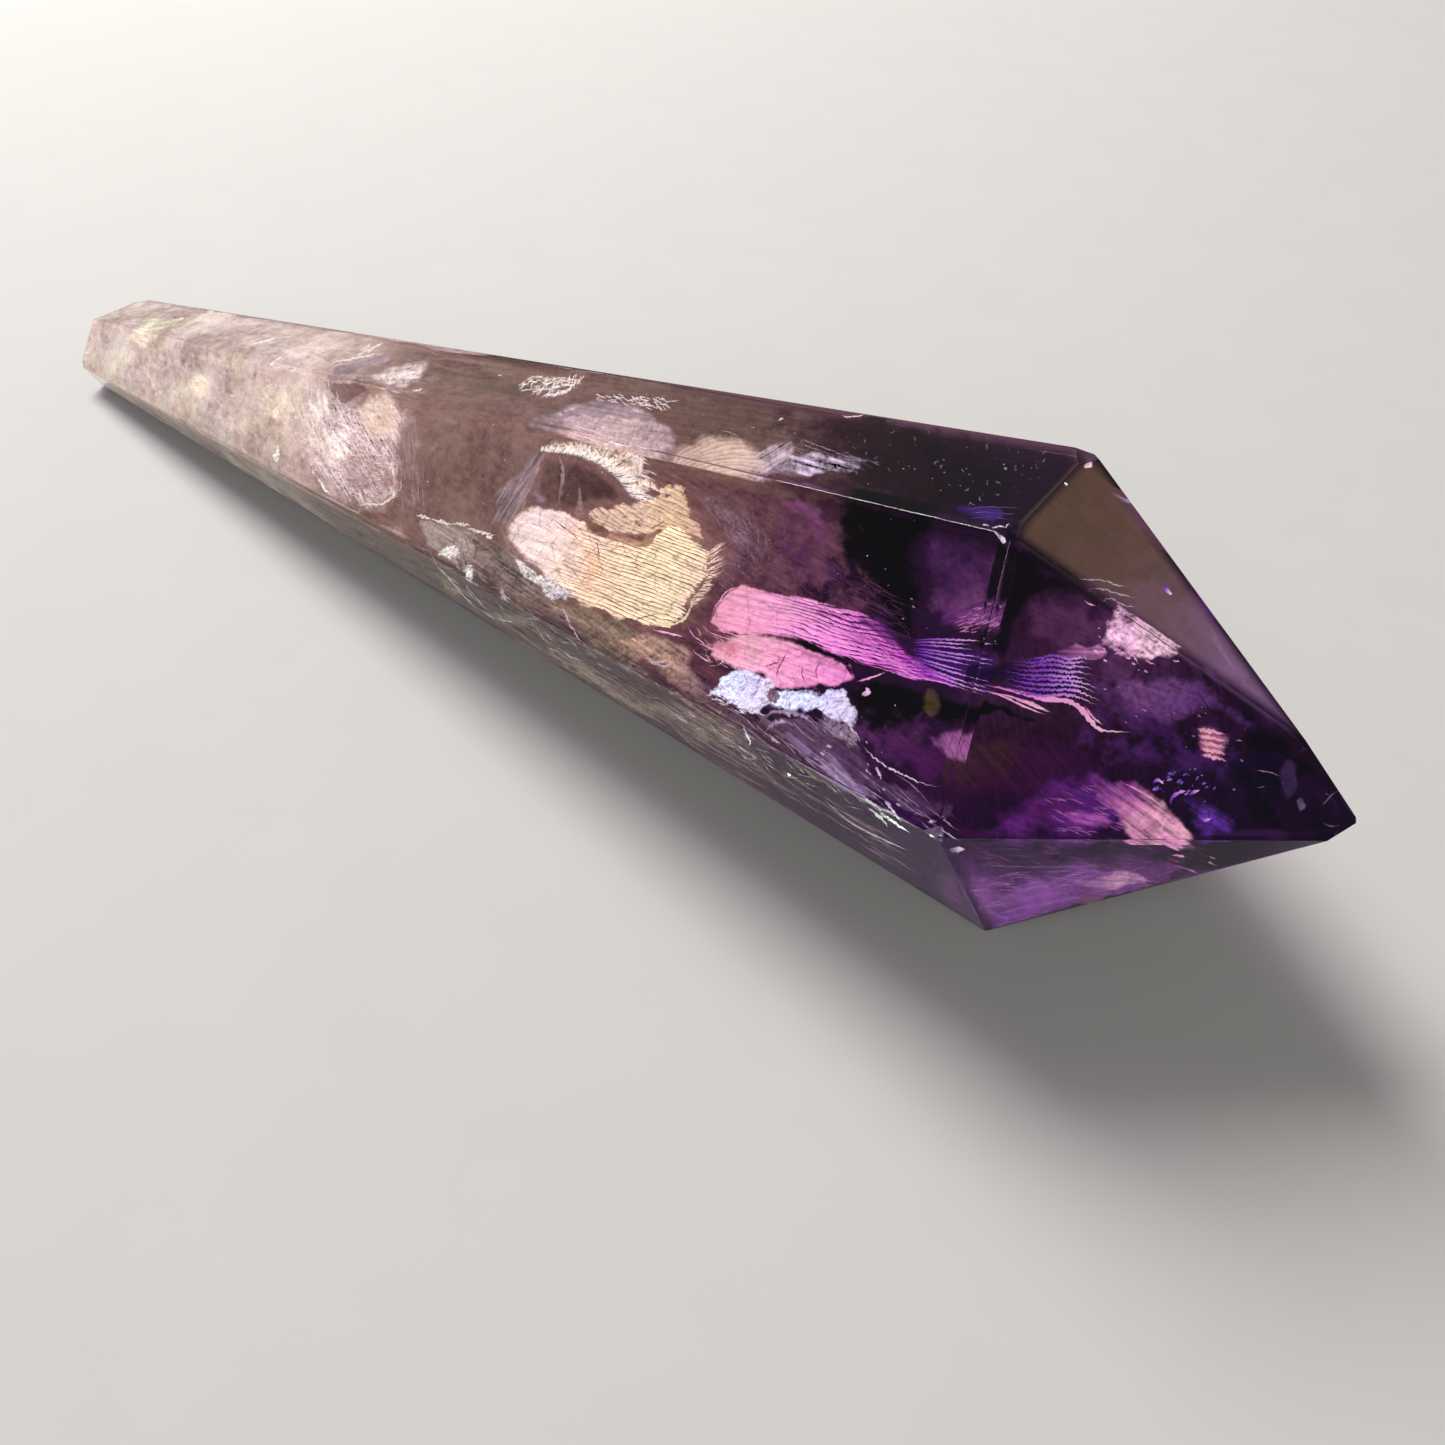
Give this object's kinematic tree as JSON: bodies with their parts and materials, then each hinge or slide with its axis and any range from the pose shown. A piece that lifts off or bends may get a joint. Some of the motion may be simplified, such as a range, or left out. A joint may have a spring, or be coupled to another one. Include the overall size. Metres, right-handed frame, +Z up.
{
  "type": "polished amethyst wand",
  "caption": "Tapered polished amethyst crystal with long flats that widen from a worn narrow butt to a girdle and close in a faceted point; it lies on one flat.",
  "frame": {"origin": "on the surface the stone lies on, under the middle of the stone seen from above", "axes": "+X along the stone towards its point, +Y across it towards the back flats, +Z up"},
  "size_m": [0.1508, 0.0366, 0.035],
  "materials": {
    "amethyst": "polished"
  },
  "bodies": {
    "root": {"amethyst_wand": "amethyst"}
  },
  "joints": []
}
